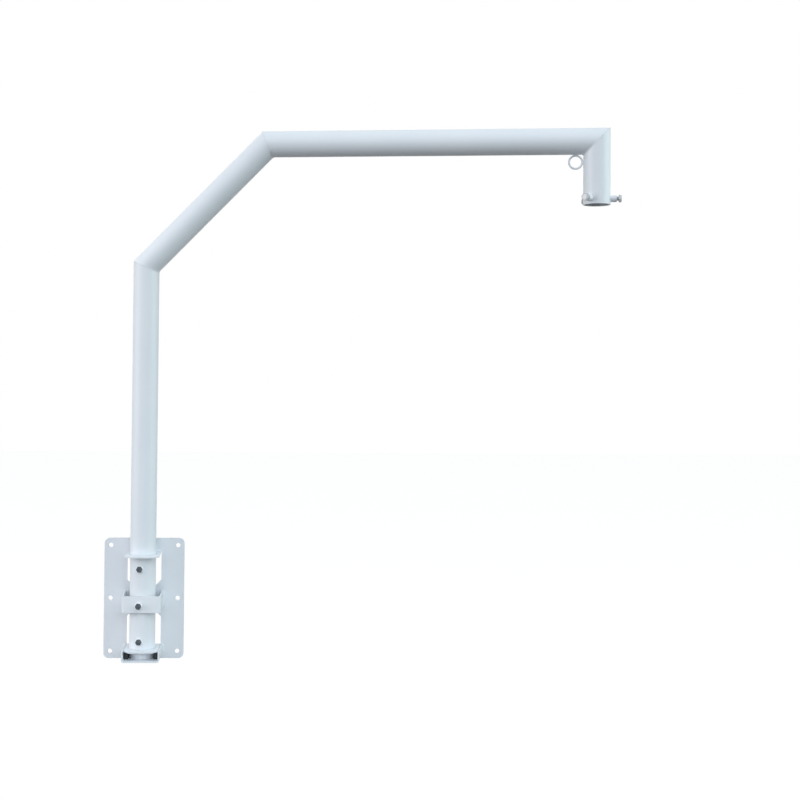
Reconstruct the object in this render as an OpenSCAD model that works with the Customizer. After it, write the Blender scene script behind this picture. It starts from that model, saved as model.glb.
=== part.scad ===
// Wall bracket with a folded plate, an upright mast, a slanted pipe, a level arm and a short drop.
// The plate's back lies in the plane y = 0 and its centre is the origin. The arm reaches along +X.

/* [Pipe] */
// Outside diameter of the pipe
pipe_d = 48; // [40:1:58]
// Wall of the pipe
pipe_wall = 2.5; // [2:0.1:4]

/* [Pipe run] */
// Height of the level arm's axis above the plate's centre
arm_z = 850; // [650:5:1050]
// Reach from the mast's axis to the drop's axis
reach = 825; // [600:5:1050]
// Rise of the slanted pipe between its two mitres, on the axis
slant_rise = 227; // [160:1:280]
// Angle of the slanted pipe above the level
slant_angle = 45; // [35:1:55]
// Drop from the arm's axis to the open end
drop_len = 115; // [95:1:150]
// Turn of the mast in the plate, which swings the arm forward of the wall
arm_swing = 8; // [-12:1:12]

/* [Wall plate] */
// Width of the plate
plate_w = 150; // [125:1:200]
// Height of the plate
plate_h = 225; // [215:1:320]
// Radius of the plate's corners
corner_r = 10; // [4:1:20]
// Thickness of the folded sheet
sheet_t = 3; // [2:0.25:4]
// Inside radius of every fold
bend_r = 2; // [1.5:0.1:4]
// Diameter of the six wall screw holes
screw_hole_d = 8.5; // [6:0.1:11]
// Distance of the screw holes from the plate's sides
screw_inset_x = 12; // [9:0.5:18]
// Distance of the outer screw holes from the plate's top and bottom
screw_inset_z = 13.5; // [9:0.5:20]

/* [Windows and tabs] */
// Width of each window and of the tab that is folded out of it
window_w = 64; // [56:1:76]
// Height of each window
window_h = 62; // [52:1:72]
// Height of the web between the two windows
web_h = 46; // [38:1:60]
// Chamfer on the tab's front corners and on the window's matching corners
tab_chamfer = 11; // [4:0.5:14]
// Cut beside each tab
tab_cut = 0.5; // [0.2:0.1:1]
// Depth of the relief notch at the ends of each fold
relief = 0.7; // [0.5:0.1:3]
// Radial clearance of the mast in the tabs' holes
guide_gap = 0.75; // [0.3:0.05:1.5]
// Flat left between a fold and the edge of the tab's hole
hole_land = 0.25; // [0.1:0.05:1]

/* [Strap] */
// Outside width of the strap round the mast
strap_w = 72; // [66:1:84]
// Height of the strap
strap_h = 30; // [24:1:40]
// Height of the strap's middle above the plate's centre
strap_z = -1; // [-4:0.5:4]
// Inside radius of the strap's two corners
strap_r = 3; // [1.5:0.5:6]
// Gap between the mast and the strap's front
strap_gap = 2; // [1.8:0.1:4]

/* [Foot] */
// Height of the space under the lower tab
seat_h = 14; // [12:0.5:18]
// Diameter of the cable outlet in the seat's floor
outlet_d = 30; // [20:1:36]
// Distance of the pads' front faces behind the seat's front edge
pad_inset = 13.8; // [8:0.2:20]
// Distance of the pads' back faces from the mast's axis
pad_back = 22; // [14:0.5:23]
// How far each pad reaches across the mast's front, measured from the mast's side
pad_lip = 0.5; // [0.25:0.25:4]
// Gap between a pad and the seat's side wall
pad_side = 1; // [0:0.1:2]
// Clearance between a pad and the mast, and between a pad and the lower tab
pad_gap = 0.3; // [0.2:0.05:0.6]

/* [Mast bolts] */
// Thread diameter of the mast's bolts
bolt_d = 6; // [5:0.5:8]
// Width across the flats of their heads
bolt_head_af = 10; // [8:0.5:13]
// Height of their heads
bolt_head_h = 4; // [3:0.1:5.5]
// Length under the head
bolt_len = 16; // [14:1:20]
// Distance between bolts
bolt_pitch = 66.5; // [58:0.5:70]
// Height of the middle bolt above the plate's centre
bolt_mid_z = -3; // [-6:0.5:4]
// Outside diameter of the washers
washer_d = 14; // [12:0.5:18]
// Diameter of the washers' smaller outer face
washer_top_d = 12; // [10.5:0.5:13]
// Height of the cone-shaped washers
washer_t = 3; // [1.6:0.1:4]
// Height of the washers' straight rim
washer_rim = 1; // [0.6:0.1:1.4]
// Outside diameter of the rivet nut's body
rivet_d = 9; // [8:0.1:11]
// Length of the rivet nut behind its flange
rivet_len = 12; // [9:0.5:14]
// Outside diameter of the rivet nut's flange
flange_d = 12; // [11:0.5:14]
// Thickness of the rivet nut's flange
flange_t = 1; // [0.6:0.1:1.2]
// Radial clearance of a bolt in a nut, and of a nut in its wall
thread_gap = 0.05; // [0.03:0.01:0.1]
// Radial clearance of a bolt in a washer or in the strap's hole
bolt_gap = 0.3; // [0.2:0.05:0.6]
// Gap left between the strap and the nearest edge of the middle washer
washer_gap = 0.1; // [0.05:0.05:0.3]

/* [Drop socket] */
// Depth by which the drop's open end is turned out inside
socket_deep = 0.5; // [0.4:0.05:0.9]
// Length of the turned-out socket, up to the shoulder that stops what goes in
socket_len = 60; // [45:1:72]

/* [Drop lock] */
// Number of lock bolts round the open end
lock_count = 3; // [2:1:4]
// Thread diameter of the lock bolts
lock_d = 8; // [6:0.5:10]
// Width across the flats of their heads
lock_head_af = 13; // [10:0.5:16]
// Height of their heads
lock_head_h = 5.3; // [4:0.1:7]
// Thread left bare between the boss and the head
lock_bare = 3.5; // [2:0.5:8]
// Height of the lock bolts above the open end
lock_up = 10.5; // [8:0.5:20]
// Turn of the lock bolts round the drop, from the arm's direction
lock_turn = -7; // [-20:1:60]
// Outside diameter of the bosses
boss_d = 12; // [10.5:0.5:15]
// Height of the bosses over the pipe
boss_h = 10.5; // [6:0.5:14]

/* [Safety ring] */
// Outside diameter of the ring
ring_d = 27; // [22:1:34]
// Diameter of the ring's wire
ring_wire = 3.5; // [2.5:0.5:5]
// Gap between the ring and the two pipes, filled by the beads
ring_gap = 0.3; // [0.2:0.1:0.6]
// Length of each bead
ring_bead_len = 9; // [6:0.5:12]
// Radius of each bead
ring_bead_r = 3; // [2:0.5:4]

/* [Welds] */
// Width of the bead round a mitre
bead_w = 4; // [2:0.5:8]
// Height of the bead round a mitre over the pipe
bead_h = 0.4; // [0.3:0.1:1.5]
// Leg of the fillets along the strap and the seat
fillet = 3; // [1.5:0.25:4]

/* [Hidden] */

$fn = 96;
paint = [0.86, 0.90, 0.94];
weld_paint = [0.80, 0.84, 0.88];
dark_steel = [0.22, 0.24, 0.26];
bright_steel = [0.75, 0.76, 0.78];
black_rubber = [0.06, 0.07, 0.08];

// Overshoot of every cutting shape past the face that it cuts
past = 1;

pipe_r = pipe_d / 2;
bore_r = pipe_r - pipe_wall;
socket_r = bore_r + socket_deep;

// Window and fold heights, on the upper half; the lower half mirrors them
window_low = web_h / 2;
window_high = window_low + window_h;
fold_z = window_high + sheet_t;
bend_end_z = fold_z + bend_r;
bend_y = -(sheet_t + bend_r);
tab_w = window_w - 2 * tab_cut;

// The tab is the window's own tongue, so its length is what the tongue leaves after the fold
neutral = 0.44;
bend_arc = 90 * PI / 180 * (bend_r + neutral * sheet_t);
tab_flat = (bend_end_z - window_low) - bend_arc;
tab_front = bend_y - tab_flat;

// The mast stands clear of the folds
guide_d = pipe_d + 2 * guide_gap;
pipe_y = bend_y - hole_land - guide_d / 2;
mast_front = pipe_y - pipe_r;

// Strap
strap_in = mast_front - strap_gap;
strap_out = strap_in - sheet_t;

// The middle bolt leans with the mast, so its hole in the strap sits aside and is a little wider
strap_hole_x = -(pipe_y - (strap_in + strap_out) / 2) * tan(arm_swing);
strap_hole_r = (bolt_d / 2 + bolt_gap) / cos(arm_swing) + sheet_t / 2 * abs(tan(arm_swing));

// Foot
floor_top = -(fold_z + seat_h);
floor_low = floor_top - sheet_t;
seat_w = window_w + 2 * sheet_t;
seat_top = -window_high;

// Pipe run: points are [x, z] on the axis, headings are degrees from +Z towards +X
knee_z = arm_z - slant_rise;
foot_p = [0, floor_top];
knee_p = [0, knee_z];
bend_p = [slant_rise / tan(slant_angle), arm_z];
corner_p = [reach, arm_z];
end_p = [reach, arm_z - drop_len];
mast_h = 0;
slant_h = 90 - slant_angle;
arm_h = 90;
drop_h = 180;

bolt_heights = [for (i = [-1 : 1]) bolt_mid_z + i * bolt_pitch];
lock_z = end_p[1] + lock_up;
lock_angles = [for (i = [0 : lock_count - 1]) lock_turn + i * 360 / lock_count];
ring_mid = ring_d / 2 - ring_wire / 2;
ring_x = reach - pipe_r - ring_gap - ring_d / 2;
ring_z = arm_z - pipe_r - ring_gap - ring_d / 2;

// Height of the cone that takes the corners off a hexagonal head
function head_chamfer(af) = af * 0.075;

// Draws its children on the pipe's axis at p, with +Z turned to the heading
module on_axis(p, heading) {
    translate([p[0], pipe_y, p[1]])
        rotate([0, heading, 0])
            children();
}

// Half space on one side of the mitre plane at p: side = -1 behind it, side = 1 ahead of it
module half_space(p, heading, side) {
    size = 4 * pipe_d;
    on_axis(p, heading)
        translate([-size / 2, -size / 2, side < 0 ? -size : 0])
            cube(size);
}

// One pipe from p to q, cut at each end on the plane that halves the turn there
module pipe_piece(p, q, heading, heading_before, heading_after) {
    span = norm(q - p);
    spare = pipe_d;
    difference() {
        on_axis(p, heading)
            translate([0, 0, -spare])
                difference() {
                    cylinder(r = pipe_r, h = span + 2 * spare);
                    translate([0, 0, -past])
                        cylinder(r = bore_r, h = span + 2 * spare + 2 * past);
                }
        half_space(p, (heading_before + heading) / 2, -1);
        half_space(q, (heading + heading_after) / 2, 1);
    }
}

// Solid rod of radius r that turns at p
module turned_rod(p, heading_in, heading_out, r) {
    reach_out = 2 * pipe_d;
    mid = (heading_in + heading_out) / 2;
    difference() {
        on_axis(p, heading_in)
            translate([0, 0, -reach_out])
                cylinder(r = r, h = 2 * reach_out);
        half_space(p, mid, 1);
    }
    difference() {
        on_axis(p, heading_out)
            translate([0, 0, -reach_out])
                cylinder(r = r, h = 2 * reach_out);
        half_space(p, mid, -1);
    }
}

// Weld bead round the mitre at p
module mitre_bead(p, heading_in, heading_out) {
    size = 4 * pipe_d;
    intersection() {
        difference() {
            turned_rod(p, heading_in, heading_out, pipe_r + bead_h);
            turned_rod(p, heading_in, heading_out, pipe_r);
        }
        on_axis(p, (heading_in + heading_out) / 2)
            cube([size, size, bead_w], center = true);
    }
}

// Rectangle with rounded corners, centred
module rounded_rect(w, h, r) {
    square([w - 2 * r, h], center = true);
    square([w, h - 2 * r], center = true);
    for (x = [-1, 1], y = [-1, 1])
        translate([x * (w / 2 - r), y * (h / 2 - r)])
            circle(r);
}

// U profile of sheet: w wide outside, from y = 0 (closed side) to y = depth, inside radius r
module u_profile(w, depth, r) {
    outer_r = r + sheet_t;
    difference() {
        union() {
            translate([-w / 2, outer_r])
                square([w, depth - outer_r]);
            translate([-w / 2 + outer_r, 0])
                square([w - 2 * outer_r, depth]);
            for (x = [-1, 1])
                translate([x * (w / 2 - outer_r), outer_r])
                    circle(outer_r);
        }
        translate([-w / 2 + sheet_t, outer_r])
            square([w - 2 * sheet_t, depth]);
        translate([-w / 2 + outer_r, sheet_t])
            square([w - 2 * outer_r, depth]);
        for (x = [-1, 1])
            translate([x * (w / 2 - outer_r), outer_r])
                circle(r);
    }
}

// Outline of the upper window in the flat sheet, with its relief notches
module window_outline() {
    polygon([
        [-window_w / 2, bend_end_z],
        [-window_w / 2, window_low + tab_chamfer],
        [-window_w / 2 + tab_chamfer, window_low],
        [window_w / 2 - tab_chamfer, window_low],
        [window_w / 2, window_low + tab_chamfer],
        [window_w / 2, bend_end_z]
    ]);
    for (x = [-1, 1])
        translate([x * (tab_w / 2 + relief / 2), bend_end_z - sheet_t / 2])
            square([relief, sheet_t + 2 * relief], center = true);
}

// Upper tab: a quarter bend and the chamfered flat in front of it
module folded_tab() {
    intersection() {
        translate([0, bend_y, bend_end_z])
            rotate([0, 90, 0])
                difference() {
                    cylinder(r = bend_r + sheet_t, h = tab_w, center = true);
                    cylinder(r = bend_r, h = tab_w + 2 * past, center = true);
                }
        translate([-tab_w / 2, bend_y, bend_end_z - bend_r - sheet_t])
            cube([tab_w, bend_r + sheet_t, bend_r + sheet_t]);
    }
    translate([0, 0, fold_z - sheet_t])
        linear_extrude(sheet_t)
            polygon([
                [-tab_w / 2, bend_y],
                [-tab_w / 2, tab_front + tab_chamfer],
                [-tab_w / 2 + tab_chamfer, tab_front],
                [tab_w / 2 - tab_chamfer, tab_front],
                [tab_w / 2, tab_front + tab_chamfer],
                [tab_w / 2, bend_y]
            ]);
}

// Hexagonal head with its corners turned off, standing on z = 0
module hex_head(af, h) {
    corner_r_hex = af / 2 / cos(30);
    cut = head_chamfer(af);
    intersection() {
        cylinder(r = corner_r_hex, h = h, $fn = 6);
        union() {
            cylinder(r = corner_r_hex + past, h = h - cut);
            translate([0, 0, h - cut])
                cylinder(r1 = corner_r_hex, r2 = af / 2 * 0.95, h = cut);
        }
    }
}

// Turns its children with the mast about its axis
module swung() {
    translate([0, pipe_y, 0])
        rotate([0, 0, -arm_swing])
            translate([0, -pipe_y, 0])
                children();
}

// Draws its children at height z on the mast's front line, with +Z turned out of the wall
module on_mast_front(z, y) {
    translate([0, y, z])
        rotate([90, 0, 0])
            children();
}

// Where the middle washer's inner face lies, so that its nearest edge just clears the strap
strap_reach = pipe_y - strap_out + washer_gap;
middle_seat = pipe_y - (strap_reach + washer_d / 2 * abs(sin(arm_swing))) / cos(arm_swing);

// The other two washers lie on the flanges of their rivet nuts
function washer_seat(i) = i == 1 ? middle_seat : mast_front - flange_t;

// Draws its children round the open end, with +Z turned outwards along each lock bolt
module round_end() {
    for (a = lock_angles)
        translate([reach, pipe_y, lock_z])
            rotate([0, 0, a])
                rotate([0, 90, 0])
                    children();
}

// Triangular fillet along +Z, in the corner between the wall plate and a side wall at x
module fillet_bead(x, side, z_low, z_high) {
    translate([x, -sheet_t, z_low])
        linear_extrude(z_high - z_low)
            polygon([[0, 0], [side * fillet, 0], [0, -fillet]]);
}

module base_plate() {
    color(paint)
        difference() {
            union() {
                rotate([90, 0, 0])
                    linear_extrude(sheet_t)
                        difference() {
                            rounded_rect(plate_w, plate_h, corner_r);
                            for (side = [0, 1])
                                mirror([0, side])
                                    window_outline();
                            for (x = [-1, 1], row = [-1 : 1])
                                translate([
                                    x * (plate_w / 2 - screw_inset_x),
                                    row * (plate_h / 2 - screw_inset_z)
                                ])
                                    circle(d = screw_hole_d);
                        }
                for (side = [0, 1])
                    mirror([0, 0, side])
                        folded_tab();
            }
            for (side = [0, 1])
                mirror([0, 0, side])
                    translate([0, pipe_y, fold_z - sheet_t - past])
                        cylinder(d = guide_d, h = sheet_t + 2 * past);
        }
}

module mast_strap() {
    color(paint)
        difference() {
            translate([0, strap_out, strap_z - strap_h / 2])
                linear_extrude(strap_h)
                    u_profile(strap_w, -sheet_t - strap_out, strap_r);
            translate([strap_hole_x, 0, 0])
                on_mast_front(bolt_mid_z, strap_in + past)
                    cylinder(r = strap_hole_r, h = sheet_t + 2 * past);
        }
}

module seat_channel() {
    color(paint)
        difference() {
            translate([0, -sheet_t, floor_low])
                rotate([90, 0, 0])
                    linear_extrude(-sheet_t - tab_front)
                        u_profile(seat_w, seat_top - floor_low, bend_r);
            translate([0, pipe_y, floor_low - past])
                cylinder(d = outlet_d, h = sheet_t + 2 * past);
        }
}

module foot_pads() {
    pad_h = seat_h - pad_gap;
    pad_front = pipe_y - tab_front - pad_inset;
    lip_x = pipe_r - pad_lip;
    pad_x = window_w / 2 - pad_side;
    cut = max(0, bend_r - pad_side);
    color(black_rubber)
        for (side = [0, 1])
            mirror([side, 0, 0])
                difference() {
                    // The lower outer edge is cut back to clear the floor's bend
                    translate([0, pipe_y + pad_back, floor_top])
                        rotate([90, 0, 0])
                            linear_extrude(pad_front + pad_back)
                                polygon([
                                    [0, 0],
                                    [pad_x - cut, 0],
                                    [pad_x, cut],
                                    [pad_x, pad_h],
                                    [0, pad_h]
                                ]);
                    translate([0, pipe_y, floor_top - past])
                        cylinder(r = pipe_r + pad_gap, h = pad_h + 2 * past);
                    translate([-lip_x, pipe_y - pad_front - past, floor_top - past])
                        cube([2 * lip_x, pad_front + past, pad_h + 2 * past]);
                }
}

module mast_tube() {
    color(paint)
        difference() {
            pipe_piece(foot_p, knee_p, mast_h, mast_h, slant_h);
            for (z = bolt_heights)
                on_mast_front(z, pipe_y)
                    cylinder(r = rivet_d / 2 + thread_gap, h = pipe_r + past);
        }
}

module slant_tube() {
    color(paint)
        pipe_piece(knee_p, bend_p, slant_h, mast_h, arm_h);
}

module arm_tube() {
    color(paint)
        pipe_piece(bend_p, corner_p, arm_h, slant_h, drop_h);
}

module drop_tube() {
    color(paint)
        difference() {
            pipe_piece(corner_p, end_p, drop_h, arm_h, drop_h);
            on_axis(end_p, 0)
                translate([0, 0, -past])
                    cylinder(r = socket_r, h = socket_len + past);
            round_end()
                cylinder(r = lock_d / 2 + thread_gap, h = pipe_r + past);
        }
}

module lower_elbow_weld() {
    color(weld_paint)
        mitre_bead(knee_p, mast_h, slant_h);
}

module upper_elbow_weld() {
    color(weld_paint)
        mitre_bead(bend_p, slant_h, arm_h);
}

module drop_corner_weld() {
    color(weld_paint)
        mitre_bead(corner_p, arm_h, drop_h);
}

module strap_welds() {
    color(weld_paint)
        for (side = [-1, 1])
            fillet_bead(side * strap_w / 2, side, strap_z - strap_h / 2, strap_z + strap_h / 2);
}

module seat_welds() {
    color(weld_paint)
        for (side = [-1, 1])
            fillet_bead(side * seat_w / 2, side, floor_low + bend_r + sheet_t, seat_top);
}

module ring_shape() {
    translate([ring_x, pipe_y, ring_z])
        rotate([90, 0, 0])
            rotate_extrude()
                translate([ring_mid, 0])
                    circle(d = ring_wire);
}

module safety_ring() {
    color(paint)
        ring_shape();
}

module ring_welds() {
    color(weld_paint)
        difference() {
            union() {
                translate([ring_x, pipe_y, arm_z - pipe_r])
                    rotate([0, 90, 0])
                        cylinder(r = ring_bead_r, h = ring_bead_len, center = true);
                translate([reach - pipe_r, pipe_y, ring_z])
                    cylinder(r = ring_bead_r, h = ring_bead_len, center = true);
            }
            turned_rod(corner_p, arm_h, drop_h, pipe_r);
            ring_shape();
        }
}

module mast_bolts() {
    color(dark_steel)
        for (i = [0 : 2])
            on_mast_front(bolt_heights[i], washer_seat(i) - washer_t) {
                hex_head(bolt_head_af, bolt_head_h);
                translate([0, 0, -bolt_len])
                    cylinder(d = bolt_d, h = bolt_len);
            }
}

module mast_washers() {
    color(paint)
        for (i = [0 : 2])
            on_mast_front(bolt_heights[i], washer_seat(i))
                difference() {
                    union() {
                        cylinder(d = washer_d, h = washer_rim);
                        translate([0, 0, washer_rim])
                            cylinder(d1 = washer_d, d2 = washer_top_d, h = washer_t - washer_rim);
                    }
                    translate([0, 0, -past])
                        cylinder(r = bolt_d / 2 + bolt_gap, h = washer_t + 2 * past);
                }
}

module mast_rivet_nuts() {
    // The crimped swelling starts where the pipe's curved inside clears it
    swell_top = pipe_r - sqrt(pow(bore_r, 2) - pow(flange_d / 2, 2)) + 2 * thread_gap;
    swell_h = rivet_len / 4;
    color(bright_steel)
        for (z = bolt_heights)
            on_mast_front(z, mast_front)
                difference() {
                    union() {
                        cylinder(d = flange_d, h = flange_t);
                        translate([0, 0, -rivet_len])
                            cylinder(d = rivet_d, h = rivet_len);
                        translate([0, 0, -swell_top - swell_h])
                            cylinder(d = flange_d, h = swell_h);
                    }
                    translate([0, 0, -rivet_len - past])
                        cylinder(r = bolt_d / 2 + thread_gap, h = rivet_len + flange_t + 2 * past);
                }
}

module lock_bosses() {
    color(paint)
        difference() {
            round_end()
                cylinder(d = boss_d, h = pipe_r + boss_h);
            translate([reach, pipe_y, lock_z - boss_d])
                cylinder(r = pipe_r, h = 2 * boss_d);
            round_end()
                cylinder(r = lock_d / 2 + thread_gap, h = pipe_r + boss_h + past);
        }
}

module lock_bolts() {
    tip = (socket_r + pipe_r) / 2;
    under_head = pipe_r + boss_h + lock_bare;
    color(bright_steel)
        round_end() {
            translate([0, 0, tip])
                cylinder(d = lock_d, h = under_head - tip);
            translate([0, 0, under_head])
                hex_head(lock_head_af, lock_head_h);
        }
}

base_plate();
mast_strap();
seat_channel();
foot_pads();
swung() mast_tube();
swung() slant_tube();
swung() arm_tube();
swung() drop_tube();
swung() lower_elbow_weld();
swung() upper_elbow_weld();
swung() drop_corner_weld();
strap_welds();
seat_welds();
swung() safety_ring();
swung() ring_welds();
swung() mast_bolts();
swung() mast_washers();
swung() mast_rivet_nuts();
swung() lock_bosses();
swung() lock_bolts();
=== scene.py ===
import math

import bmesh
import bpy
from mathutils import Matrix, Vector, noise


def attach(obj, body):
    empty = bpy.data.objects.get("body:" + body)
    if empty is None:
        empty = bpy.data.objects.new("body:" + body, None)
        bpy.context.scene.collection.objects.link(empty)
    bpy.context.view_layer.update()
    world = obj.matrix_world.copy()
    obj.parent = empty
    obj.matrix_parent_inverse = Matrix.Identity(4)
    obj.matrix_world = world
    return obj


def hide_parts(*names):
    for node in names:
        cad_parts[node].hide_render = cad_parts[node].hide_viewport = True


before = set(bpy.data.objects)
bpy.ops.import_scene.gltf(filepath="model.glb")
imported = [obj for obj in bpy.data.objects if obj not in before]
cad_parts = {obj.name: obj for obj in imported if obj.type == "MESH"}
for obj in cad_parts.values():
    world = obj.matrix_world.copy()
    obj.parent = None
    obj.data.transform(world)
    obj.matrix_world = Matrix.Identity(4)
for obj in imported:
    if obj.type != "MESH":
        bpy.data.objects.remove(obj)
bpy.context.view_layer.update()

# Driving sizes of the bracket, in metres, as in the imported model
MM = 0.001
PIPE_R = 24 * MM
PIPE_Y = -30 * MM
ARM_Z = 850 * MM
REACH = 825 * MM
SLANT_RISE = 227 * MM
SLANT_LEAN = math.radians(45)
DROP_END_Z = 735 * MM
SWING = math.radians(-8)
SHEET_T = 3 * MM
STRAP_W = 72 * MM
STRAP_H = 30 * MM
STRAP_Z = -1 * MM
SEAT_W = 70 * MM
SEAT_LOW = -105 * MM
SEAT_HIGH = -85 * MM
RING_X = 787.2 * MM
RING_Z = 812.2 * MM

# Mast bolts: heads, threads, heights and the washers and rivet flanges that they sit on
BOLT_FLATS = 10 * MM
BOLT_HEAD_H = 4 * MM
BOLT_D = 6 * MM
BOLT_PITCH = 1 * MM
BOLT_LEN = 16 * MM
BOLT_MID_Z = -3 * MM
BOLT_STEP = 66.5 * MM
WASHER_R = 7 * MM
WASHER_T = 3 * MM
FLANGE_T = 1 * MM
STRAP_FACE = 29.1 * MM
MAST_SEAT = PIPE_R + FLANGE_T + WASHER_T
STRAP_SEAT = (STRAP_FACE + WASHER_R * abs(math.sin(SWING))) / math.cos(SWING) + WASHER_T

# Lock bolts round the drop's open end
LOCK_FLATS = 13 * MM
LOCK_HEAD_H = 5.3 * MM
LOCK_D = 8 * MM
LOCK_PITCH = 1.25 * MM
LOCK_UP = 10.5 * MM
LOCK_BARE = 3.5 * MM
LOCK_TURN = math.radians(-7)
BOSS_H = 10.5 * MM
SOCKET_R = 22 * MM

# Weld beads: width and height of the mitre beads, radii of the fillets, and one scallop's length
MITRE_BEAD_W = 4.4 * MM
MITRE_BEAD_H = 0.55 * MM
MITRE_PITCH = 3.2 * MM
BEAD_ROOT = 0.2 * MM
FILLET_R = 2.4 * MM
FILLET_OUT = 0.3 * MM
FILLET_PITCH = 3 * MM
SEAT_BEAD_START = 2 * MM
RING_BEAD_R = 2.6 * MM
RING_BEAD_LEN = 9 * MM

# Edges sharper than these are shaded as edges
HARD_EDGE = math.radians(35)
BEAD_EDGE = math.radians(60)

# Lamps: how wide they are and what they are aimed at
WINDOW_SPREAD = math.radians(60)
SIDE_LAMP_D = 4.5
LOW_LAMP_D = 0.5
BRACKET_MIDDLE = (0.2, 0, 0.45)
FOOT = (0, 0, -0.06)

# Turns and places a piece that swings with the mast
MAST = Matrix.Translation((0, PIPE_Y, 0)) @ Matrix.Rotation(SWING, 4, "Z")


# Mesh helpers

def finished(name, bm, material, node, sharp=HARD_EDGE):
    """Makes a piece in a CAD node's place, shaded smooth between sharp edges, hangs it on the root body and
    hides the node.
    """
    bmesh.ops.recalc_face_normals(bm, faces=bm.faces)
    mesh = bpy.data.meshes.new(name)
    bm.to_mesh(mesh)
    bm.free()
    mesh.shade_smooth()
    mesh.set_sharp_from_angle(angle=sharp)
    mesh.materials.append(material)
    piece = bpy.data.objects.new(name, mesh)
    bpy.context.scene.collection.objects.link(piece)
    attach(piece, "root")
    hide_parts(node)


def ripple(distance, pitch, seed):
    """Height of a hand-laid weld bead along its length, from 0 to 1, one scallop a pitch."""
    least, scallop_share, wander_share = 0.62, 0.30, 0.22
    wander_pace = 0.37
    scallop = abs(math.sin(math.pi * distance / pitch))
    wander = noise.noise(Vector((distance / pitch * wander_pace, seed, 0.0)))
    return min(1.0, max(0.0, least + scallop_share * scallop + wander_share * wander))


def mitre_bead(corner, heading_in, heading_out, seed):
    """Weld bead round a mitre: a low ring on the mitre's plane, half of it along each pipe."""
    section_points = 9
    steps_round = 180
    edge_wander = 0.25 * MM
    wander_pace = 220
    wander_lane = 1.7
    merge = 0.001 * MM
    bm = bmesh.new()
    section = []
    for i in range(section_points):
        across = -1 + 2 * i / (section_points - 1)
        rise = MITRE_BEAD_H * math.sqrt(max(0.0, 1 - across * across))
        section.append(bm.verts.new((PIPE_R - BEAD_ROOT + rise, 0, across * MITRE_BEAD_W / 2)))
    rim = [bm.edges.new(pair) for pair in zip(section, section[1:] + section[:1])]
    bmesh.ops.spin(bm, geom=section + rim, cent=(0, 0, 0), axis=(0, 0, 1), dvec=(0, 0, 0),
                   angle=2 * math.pi, steps=steps_round, use_merge=True, use_duplicate=False)
    bmesh.ops.remove_doubles(bm, verts=bm.verts, dist=merge)
    turn = heading_out - heading_in
    for v in bm.verts:
        around = math.atan2(v.co.y, v.co.x) * PIPE_R
        out = math.hypot(v.co.x, v.co.y)
        lift = max(0.0, out - PIPE_R) * ripple(around, MITRE_PITCH, seed)
        scale = (min(out, PIPE_R) + lift) / out
        along = v.co.z + edge_wander * noise.noise(Vector((around * wander_pace, seed, wander_lane)))
        on_mitre = Vector((v.co.x * scale, v.co.y * scale, -math.tan(turn / 2) * v.co.x * scale))
        if along < 0:
            v.co = on_mitre + Vector((0, 0, along))
        else:
            v.co = on_mitre + Vector((math.sin(turn), 0, math.cos(turn))) * along
    place = Matrix.Translation((corner[0], 0, corner[1])) @ Matrix.Rotation(heading_in, 4, "Y")
    bmesh.ops.transform(bm, matrix=MAST @ place, verts=bm.verts)
    return bm


def straight_bead(length, radius, seed):
    """Fillet bead along Z, centred, with scallops and rounded ends."""
    fewest_rings, ring_step = 12, 0.5 * MM
    sides = 16
    leanest, scallop_share = 0.80, 0.25
    end_power = 6
    merge = 0.01 * MM
    bm = bmesh.new()
    rings = max(fewest_rings, int(length / ring_step))
    bmesh.ops.create_circle(bm, segments=sides, radius=radius, cap_ends=False)
    bmesh.ops.translate(bm, verts=bm.verts, vec=(0, 0, -length / 2))
    edges = list(bm.edges)
    for _ in range(rings):
        grown = bmesh.ops.extrude_edge_only(bm, edges=edges)["geom"]
        moved = [g for g in grown if isinstance(g, bmesh.types.BMVert)]
        bmesh.ops.translate(bm, verts=moved, vec=(0, 0, length / rings))
        edges = [g for g in grown if isinstance(g, bmesh.types.BMEdge)]
    for v in bm.verts:
        along = v.co.z / (length / 2)
        ends = math.sqrt(max(0.0, 1 - abs(along) ** end_power))
        swell = leanest + scallop_share * ripple(v.co.z + length, FILLET_PITCH, seed)
        v.co.x *= swell * ends
        v.co.y *= swell * ends
    bmesh.ops.remove_doubles(bm, verts=bm.verts, dist=merge)
    return bm


def joined(parts):
    """One bmesh from several."""
    whole = bmesh.new()
    for bm in parts:
        part = bpy.data.meshes.new("part")
        bm.to_mesh(part)
        bm.free()
        whole.from_mesh(part)
        bpy.data.meshes.remove(part)
    return whole


def hexagon_reach(angle, across_flats):
    """Distance from a hexagon's centre to its outline at an angle."""
    from_flat = (angle + math.pi / 6) % (math.pi / 3) - math.pi / 6
    return across_flats / 2 / math.cos(from_flat)


def hex_head(across_flats, height):
    """Hexagonal bolt head on z = 0, its upper corners turned off and its underside stepped."""
    points = 72
    step_r = across_flats / 2 * 0.94
    step_h = 0.05 * height
    face_r = across_flats / 2 * 0.82
    dish_r = face_r * 0.55
    dish_depth = 0.02 * height
    slope = math.tan(math.radians(30))
    bm = bmesh.new()
    bmesh.ops.create_circle(bm, segments=points, radius=step_r, cap_ends=True)
    ring = list(bm.edges)
    for level in ("step", "flare", "side", "face", "dish"):
        grown = bmesh.ops.extrude_edge_only(bm, edges=ring)["geom"]
        ring = [g for g in grown if isinstance(g, bmesh.types.BMEdge)]
        for v in [g for g in grown if isinstance(g, bmesh.types.BMVert)]:
            angle = math.atan2(v.co.y, v.co.x)
            corner = hexagon_reach(angle, across_flats)
            if level == "step":
                out, z = step_r, step_h
            elif level == "flare":
                out, z = corner, step_h
            elif level == "side":
                out, z = corner, height - (corner - face_r) * slope
            elif level == "face":
                out, z = face_r, height
            else:
                out, z = dish_r, height - dish_depth
            v.co = (out * math.cos(angle), out * math.sin(angle), z)
    bmesh.ops.holes_fill(bm, edges=ring, sides=0)
    return bm


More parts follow.
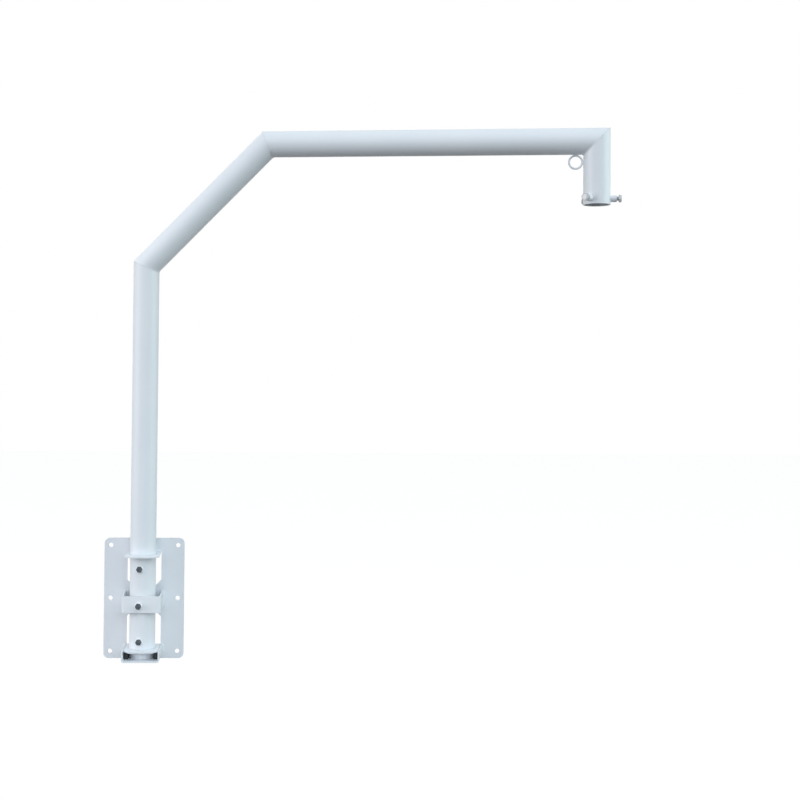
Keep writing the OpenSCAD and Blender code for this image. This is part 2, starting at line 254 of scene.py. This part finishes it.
def thread(diameter, pitch, low, high):
    """Threaded rod along Z from low to high: one V spun up the helix and cut off square."""
    steps_a_turn = 24
    depth = 0.61 * pitch
    flat = pitch / 8
    merge, cut_slack, level_slack = 0.002 * MM, 0.0001 * MM, 0.01 * MM
    bm = bmesh.new()
    turns = math.ceil((high - low) / pitch) + 2
    start = low - pitch
    profile = [(diameter / 2 - depth, 0), (diameter / 2, pitch / 2 - flat / 2),
               (diameter / 2, pitch / 2 + flat / 2), (diameter / 2 - depth, pitch)]
    verts = [bm.verts.new((out, 0, start + up)) for out, up in profile]
    edges = [bm.edges.new(pair) for pair in zip(verts, verts[1:])]
    steps = turns * steps_a_turn
    bmesh.ops.spin(bm, geom=verts + edges, cent=(0, 0, 0), axis=(0, 0, 1), angle=turns * 2 * math.pi,
                   dvec=(0, 0, pitch / steps_a_turn), steps=steps, use_merge=False, use_duplicate=False)
    bmesh.ops.remove_doubles(bm, verts=bm.verts, dist=merge)
    for level, side in ((low, -1), (high, 1)):
        geom = bm.verts[:] + bm.edges[:] + bm.faces[:]
        bmesh.ops.bisect_plane(bm, geom=geom, plane_co=(0, 0, level), plane_no=(0, 0, side),
                               clear_outer=True, dist=cut_slack)
        rim = [e for e in bm.edges
               if e.is_boundary and all(abs(v.co.z - level) < level_slack for v in e.verts)]
        bmesh.ops.holes_fill(bm, edges=rim, sides=0)
    return bm


def hex_bolt(across_flats, head_h, diameter, pitch, length):
    """Bolt with its head on z = 0 and its thread reaching down from it."""
    return joined([hex_head(across_flats, head_h), thread(diameter, pitch, -length, 0)])


# Materials

def new_material(name):
    """A material with its node tree's nodes and links and its shader."""
    material = bpy.data.materials.new(name)
    material.use_nodes = True
    tree = material.node_tree
    return material, tree.nodes, tree.links, tree.nodes["Principled BSDF"]


def noise_on_object(nodes, links, scale, detail, rough=0.5):
    """Noise on the piece's own Object coordinates."""
    coords = nodes.new("ShaderNodeTexCoord")
    pattern = nodes.new("ShaderNodeTexNoise")
    pattern.inputs["Scale"].default_value = scale
    pattern.inputs["Detail"].default_value = detail
    pattern.inputs["Roughness"].default_value = rough
    links.new(coords.outputs["Object"], pattern.inputs["Vector"])
    return pattern


def spread(nodes, links, value, low, high):
    """Maps a noise value's usual span on to the range low to high."""
    ramp = nodes.new("ShaderNodeMapRange")
    ramp.inputs["From Min"].default_value = 0.3
    ramp.inputs["From Max"].default_value = 0.7
    ramp.inputs["To Min"].default_value = low
    ramp.inputs["To Max"].default_value = high
    links.new(value, ramp.inputs["Value"])
    return ramp.outputs["Result"]


def two_tone(nodes, links, value, dark, light):
    """Colour between dark and light over a noise value's middle part."""
    ramp = nodes.new("ShaderNodeValToRGB")
    ramp.color_ramp.elements[0].position = 0.35
    ramp.color_ramp.elements[0].color = (*dark, 1)
    ramp.color_ramp.elements[1].position = 0.65
    ramp.color_ramp.elements[1].color = (*light, 1)
    links.new(value, ramp.inputs["Fac"])
    return ramp.outputs["Color"]


def bumped(nodes, links, height, strength, distance, edge_r):
    """Bump on top of softly rounded edges."""
    edge_samples = 6
    edge = nodes.new("ShaderNodeBevel")
    edge.samples = edge_samples
    edge.inputs["Radius"].default_value = edge_r
    bump = nodes.new("ShaderNodeBump")
    bump.inputs["Strength"].default_value = strength
    bump.inputs["Distance"].default_value = distance
    links.new(height, bump.inputs["Height"])
    links.new(edge.outputs["Normal"], bump.inputs["Normal"])
    return bump.outputs["Normal"]


def powder_coat(name, dark, light, roughness, edge_r=0.6 * MM):
    """White powder coat: fine orange peel, faint cloudiness and soft edges."""
    peel_scale, cloud_scale = 620, 9
    peel_strength, peel_height = 0.22, 0.12 * MM
    smoother, rougher = roughness - 0.04, roughness + 0.05
    material, nodes, links, shader = new_material(name)
    peel = noise_on_object(nodes, links, peel_scale, 2)
    cloud = noise_on_object(nodes, links, cloud_scale, 3)
    colour = two_tone(nodes, links, cloud.outputs["Fac"], dark, light)
    gloss = spread(nodes, links, cloud.outputs["Fac"], smoother, rougher)
    surface = bumped(nodes, links, peel.outputs["Fac"], peel_strength, peel_height, edge_r)
    links.new(colour, shader.inputs["Base Color"])
    links.new(gloss, shader.inputs["Roughness"])
    links.new(surface, shader.inputs["Normal"])
    shader.inputs["Specular IOR Level"].default_value = 0.5
    return material


def plated_steel(name, dark, light, roughness, metallic=1.0):
    """Plated or blackened steel: mottled colour and a fine grain."""
    mottle_scale, grain_scale = 260, 2340
    grain_strength, grain_height, edge_r = 0.15, 0.04 * MM, 0.15 * MM
    smoother, rougher = roughness - 0.08, roughness + 0.12
    material, nodes, links, shader = new_material(name)
    mottle = noise_on_object(nodes, links, mottle_scale, 4)
    grain = noise_on_object(nodes, links, grain_scale, 3, 0.6)
    colour = two_tone(nodes, links, mottle.outputs["Fac"], dark, light)
    gloss = spread(nodes, links, grain.outputs["Fac"], smoother, rougher)
    surface = bumped(nodes, links, grain.outputs["Fac"], grain_strength, grain_height, edge_r)
    links.new(colour, shader.inputs["Base Color"])
    links.new(gloss, shader.inputs["Roughness"])
    links.new(surface, shader.inputs["Normal"])
    shader.inputs["Metallic"].default_value = metallic
    return material


def moulded_rubber(name, dark, light):
    """Matt black rubber with a fine moulded grain."""
    grain_scale, bloom_scale = 900, 60
    grain_strength, grain_height, edge_r = 0.3, 0.1 * MM, 0.5 * MM
    smoother, rougher = 0.62, 0.78
    material, nodes, links, shader = new_material(name)
    grain = noise_on_object(nodes, links, grain_scale, 3)
    bloom = noise_on_object(nodes, links, bloom_scale, 3)
    colour = two_tone(nodes, links, bloom.outputs["Fac"], dark, light)
    gloss = spread(nodes, links, grain.outputs["Fac"], smoother, rougher)
    surface = bumped(nodes, links, grain.outputs["Fac"], grain_strength, grain_height, edge_r)
    links.new(colour, shader.inputs["Base Color"])
    links.new(gloss, shader.inputs["Roughness"])
    links.new(surface, shader.inputs["Normal"])
    return material


white_paint = powder_coat("white_powder_coat", (0.760, 0.800, 0.845), (0.790, 0.825, 0.865), 0.46)
weld_paint = powder_coat("painted_weld_bead", (0.735, 0.775, 0.820), (0.780, 0.815, 0.855), 0.42, 0.2 * MM)
# Collar coat: the white powder coat made lighter, a painted highlight for the light that falls on the
# collars' upturned rims
collar_highlight_paint = powder_coat("bolt_collar_painted_highlight", (0.870, 0.890, 0.915), (0.895, 0.910, 0.930), 0.40, 0.3 * MM)
dark_bolt = plated_steel("blackened_bolt_steel", (0.042, 0.052, 0.064), (0.085, 0.098, 0.114), 0.40)
bright_zinc = plated_steel("bright_zinc_plate", (0.44, 0.46, 0.48), (0.54, 0.56, 0.58), 0.46, 0.30)
rubber = moulded_rubber("black_moulded_rubber", (0.012, 0.014, 0.016), (0.022, 0.024, 0.027))

CAD_FINISHES = {
    "base_plate": white_paint,
    "mast_strap": white_paint,
    "seat_channel": white_paint,
    "mast_tube": white_paint,
    "slant_tube": white_paint,
    "arm_tube": white_paint,
    "drop_tube": white_paint,
    "safety_ring": white_paint,
    "lock_bosses": white_paint,
    "foot_pads": rubber,
    "mast_washers": collar_highlight_paint,
    "mast_rivet_nuts": bright_zinc,
}


def finish_cad_nodes():
    """Gives every CAD node that stays in view its material."""
    for node, material in CAD_FINISHES.items():
        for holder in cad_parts[node].material_slots:
            holder.material = material


# Pieces

def elbow_welds():
    """The three beads round the pipe's mitres."""
    knee_z = ARM_Z - SLANT_RISE
    bend_x = SLANT_RISE / math.tan(SLANT_LEAN)
    up, slant, level, down = 0.0, math.pi / 2 - SLANT_LEAN, math.pi / 2, math.pi
    mitres = [
        ("lower_elbow_bead", "lower_elbow_weld", (0, knee_z), up, slant, 1.0),
        ("upper_elbow_bead", "upper_elbow_weld", (bend_x, ARM_Z), slant, level, 2.0),
        ("drop_corner_bead", "drop_corner_weld", (REACH, ARM_Z), level, down, 3.0),
    ]
    for name, node, corner, heading_in, heading_out, seed in mitres:
        bm = mitre_bead(corner, heading_in, heading_out, seed)
        finished(name, bm, weld_paint, node, BEAD_EDGE)


def plate_welds():
    """Fillet beads that hold the strap and the seat on the plate."""
    runs = [
        ("strap_beads", "strap_welds", STRAP_W, STRAP_Z - STRAP_H / 2, STRAP_Z + STRAP_H / 2, 4.0),
        ("seat_beads", "seat_welds", SEAT_W, SEAT_LOW + SHEET_T + SEAT_BEAD_START, SEAT_HIGH, 6.0),
    ]
    for name, node, width, low, high, seed in runs:
        beads = []
        for side in (-1, 1):
            bm = straight_bead(high - low, FILLET_R, seed + side)
            place = (side * (width / 2 + FILLET_OUT), -SHEET_T - FILLET_OUT, (low + high) / 2)
            bmesh.ops.translate(bm, verts=bm.verts, vec=place)
            beads.append(bm)
        finished(name, joined(beads), weld_paint, node, BEAD_EDGE)


def ring_beads():
    """The two short beads between the ring and the pipes."""
    under_arm = straight_bead(RING_BEAD_LEN, RING_BEAD_R, 8.0)
    place = Matrix.Translation((RING_X, 0, ARM_Z - PIPE_R)) @ Matrix.Rotation(math.pi / 2, 4, "Y")
    bmesh.ops.transform(under_arm, matrix=MAST @ place, verts=under_arm.verts)
    on_drop = straight_bead(RING_BEAD_LEN, RING_BEAD_R, 9.0)
    place = Matrix.Translation((REACH - PIPE_R, 0, RING_Z))
    bmesh.ops.transform(on_drop, matrix=MAST @ place, verts=on_drop.verts)
    finished("ring_beads", joined([under_arm, on_drop]), weld_paint, "ring_welds", BEAD_EDGE)


def mast_front_bolts():
    """The three bolts up the mast's front, heads out, each turned as it was tightened."""
    outward = Matrix.Rotation(math.pi / 2, 4, "X")
    seats = [
        (BOLT_MID_Z - BOLT_STEP, MAST_SEAT, 31),
        (BOLT_MID_Z, STRAP_SEAT, 27),
        (BOLT_MID_Z + BOLT_STEP, MAST_SEAT, 33),
    ]
    bolts = []
    for z, seat, turn in seats:
        bm = hex_bolt(BOLT_FLATS, BOLT_HEAD_H, BOLT_D, BOLT_PITCH, BOLT_LEN)
        place = Matrix.Translation((0, -seat, z)) @ outward @ Matrix.Rotation(math.radians(turn), 4, "Z")
        bmesh.ops.transform(bm, matrix=MAST @ place, verts=bm.verts)
        bolts.append(bm)
    finished("mast_bolts_threaded", joined(bolts), dark_bolt, "mast_bolts")


def drop_lock_bolts():
    """The three lock bolts round the open end, with bare thread between boss and head."""
    lock_z = DROP_END_Z + LOCK_UP
    under_head = PIPE_R + BOSS_H + LOCK_BARE
    tip = (SOCKET_R + PIPE_R) / 2
    head_turns = (0.2, 0.55, 0.8)
    bolts = []
    for i, turn in enumerate(head_turns):
        bm = hex_bolt(LOCK_FLATS, LOCK_HEAD_H, LOCK_D, LOCK_PITCH, under_head - tip)
        around = LOCK_TURN + i * 2 * math.pi / len(head_turns)
        place = (Matrix.Translation((REACH, 0, lock_z)) @ Matrix.Rotation(around, 4, "Z")
                 @ Matrix.Rotation(math.pi / 2, 4, "Y") @ Matrix.Translation((0, 0, under_head))
                 @ Matrix.Rotation(turn, 4, "Z"))
        bmesh.ops.transform(bm, matrix=MAST @ place, verts=bm.verts)
        bolts.append(bm)
    finished("lock_bolts_threaded", joined(bolts), bright_zinc, "lock_bolts")


# Studio

def seen_directly(nodes, links):
    """1 for camera, glossy and transmission rays, 0 for the rest."""
    path = nodes.new("ShaderNodeLightPath")
    first = nodes.new("ShaderNodeMath")
    first.operation = "MAXIMUM"
    links.new(path.outputs["Is Camera Ray"], first.inputs[0])
    links.new(path.outputs["Is Glossy Ray"], first.inputs[1])
    second = nodes.new("ShaderNodeMath")
    second.operation = "MAXIMUM"
    links.new(first.outputs["Value"], second.inputs[0])
    links.new(path.outputs["Is Transmission Ray"], second.inputs[1])
    return second.outputs["Value"]


def studio_world():
    """White where it is seen; a soft sky that is brighter above than below where it lights."""
    sky_from, sky_to = -0.1, 0.9
    below, above = (0.02, 0.02, 0.02, 1), (0.95, 0.99, 1.0, 1)
    sky_strength = 0.56
    world = bpy.data.worlds.new("studio")
    bpy.context.scene.world = world
    world.use_nodes = True
    nodes, links = world.node_tree.nodes, world.node_tree.links
    nodes.clear()
    coords = nodes.new("ShaderNodeTexCoord")
    split = nodes.new("ShaderNodeSeparateXYZ")
    links.new(coords.outputs["Generated"], split.inputs["Vector"])
    height = nodes.new("ShaderNodeMapRange")
    height.inputs["From Min"].default_value = sky_from
    height.inputs["From Max"].default_value = sky_to
    links.new(split.outputs["Z"], height.inputs["Value"])
    sky = nodes.new("ShaderNodeValToRGB")
    sky.color_ramp.elements[0].color = below
    sky.color_ramp.elements[1].color = above
    links.new(height.outputs["Result"], sky.inputs["Fac"])
    soft = nodes.new("ShaderNodeBackground")
    soft.inputs["Strength"].default_value = sky_strength
    links.new(sky.outputs["Color"], soft.inputs["Color"])
    white = nodes.new("ShaderNodeBackground")
    white.inputs["Color"].default_value = (1, 1, 1, 1)
    white.inputs["Strength"].default_value = 1.0
    mix = nodes.new("ShaderNodeMixShader")
    links.new(seen_directly(nodes, links), mix.inputs["Fac"])
    links.new(soft.outputs["Background"], mix.inputs[1])
    links.new(white.outputs["Background"], mix.inputs[2])
    out = nodes.new("ShaderNodeOutputWorld")
    links.new(mix.outputs["Shader"], out.inputs["Surface"])


def studio_floor():
    """Pale floor below the bracket that keeps its shadow, and that throws little light back up."""
    floor_z, floor_y = -0.42, 1.0
    half = 7.0
    bounce_tone, seen_tone = 0.10, 0.80
    glow_strength, glow_share = 1.08, 0.82
    bm = bmesh.new()
    bmesh.ops.create_grid(bm, x_segments=1, y_segments=1, size=half)
    bmesh.ops.translate(bm, verts=bm.verts, vec=(0, floor_y, floor_z))
    mesh = bpy.data.meshes.new("floor")
    bm.to_mesh(mesh)
    bm.free()
    floor = bpy.data.objects.new("floor", mesh)
    bpy.context.scene.collection.objects.link(floor)
    material = bpy.data.materials.new("floor")
    material.use_nodes = True
    nodes, links = material.node_tree.nodes, material.node_tree.links
    nodes.clear()
    seen = seen_directly(nodes, links)
    tone = nodes.new("ShaderNodeMapRange")
    tone.inputs["To Min"].default_value = bounce_tone
    tone.inputs["To Max"].default_value = seen_tone
    links.new(seen, tone.inputs["Value"])
    lit = nodes.new("ShaderNodeBsdfDiffuse")
    links.new(tone.outputs["Result"], lit.inputs["Color"])
    glow = nodes.new("ShaderNodeEmission")
    glow.inputs["Color"].default_value = (1, 1, 1, 1)
    glow.inputs["Strength"].default_value = glow_strength
    share = nodes.new("ShaderNodeMath")
    share.operation = "MULTIPLY"
    share.inputs[1].default_value = glow_share
    links.new(seen, share.inputs[0])
    mix = nodes.new("ShaderNodeMixShader")
    links.new(share.outputs["Value"], mix.inputs["Fac"])
    links.new(lit.outputs["BSDF"], mix.inputs[1])
    links.new(glow.outputs["Emission"], mix.inputs[2])
    out = nodes.new("ShaderNodeOutputMaterial")
    links.new(mix.outputs["Shader"], out.inputs["Surface"])
    mesh.materials.append(material)


def hung(name, data, place, target):
    """Hangs a light at a place and aims it."""
    light = bpy.data.objects.new(name, data)
    light.location = place
    aim = Vector(target) - Vector(place)
    light.rotation_euler = aim.to_track_quat("-Z", "Y").to_euler()
    bpy.context.scene.collection.objects.link(light)


def soft_lamp(name, place, power, colour, across, target):
    """Round lamp, across metres wide, aimed at a target."""
    data = bpy.data.lights.new(name, "AREA")
    data.shape = "DISK"
    data.size = across
    data.energy = power
    data.color = colour
    hung(name, data, place, target)


def far_window(name, side, height, strength, colour):
    """Large even light from far off; side and height are its directions in degrees."""
    data = bpy.data.lights.new(name, "SUN")
    data.angle = WINDOW_SPREAD
    data.energy = strength
    data.color = colour
    side, height = math.radians(side), math.radians(height)
    place = (math.sin(side) * math.cos(height), -math.cos(side) * math.cos(height), math.sin(height))
    hung(name, data, place, (0, 0, 0))


def studio_lights():
    """Even light from in front and above, a soft lamp on each side and a small low one for the foot."""
    far_window("front_window", 0, 15, 0.62, (0.88, 0.93, 1.0))
    far_window("high_window", 30, 50, 0.94, (0.76, 0.88, 1.0))
    soft_lamp("left_lamp", (-5.0, -1.5, 1.5), 182, (0.97, 0.97, 0.99), SIDE_LAMP_D, BRACKET_MIDDLE)
    soft_lamp("right_lamp", (5.5, -1.5, 1.5), 138, (0.86, 1.0, 0.97), SIDE_LAMP_D, BRACKET_MIDDLE)
    soft_lamp("low_lamp", (0.0, -1.0, -0.3), 1.45, (0.88, 0.95, 1.0), LOW_LAMP_D, FOOT)


def camera():
    """The photograph's viewpoint: right of the plate and a little above the middle of the bracket."""
    frame_px = 800
    focal_px = 1174.4
    axis_px = (300.0, 321.4)
    stand = (0.2131, -2.2341, 0.4685)
    yaw, pitch, roll = (math.radians(a) for a in (-1.949, 1.409, -0.512))
    data = bpy.data.cameras.new("camera")
    data.sensor_width = 36
    data.lens = focal_px / frame_px * data.sensor_width
    data.shift_x = (frame_px / 2 - axis_px[0]) / frame_px
    data.shift_y = (axis_px[1] - frame_px / 2) / frame_px
    data.clip_end = 50
    view = bpy.data.objects.new("camera", data)
    turn = (Matrix.Rotation(yaw, 4, "Z") @ Matrix.Rotation(pitch, 4, "X") @ Matrix.Rotation(roll, 4, "Y")
            @ Matrix.Rotation(math.pi / 2, 4, "X"))
    view.matrix_world = Matrix.Translation(stand) @ turn
    bpy.context.scene.collection.objects.link(view)
    bpy.context.scene.camera = view


finish_cad_nodes()
elbow_welds()
plate_welds()
ring_beads()
mast_front_bolts()
drop_lock_bolts()
studio_world()
studio_floor()
studio_lights()
camera()
bpy.context.scene.view_settings.view_transform = "Standard"
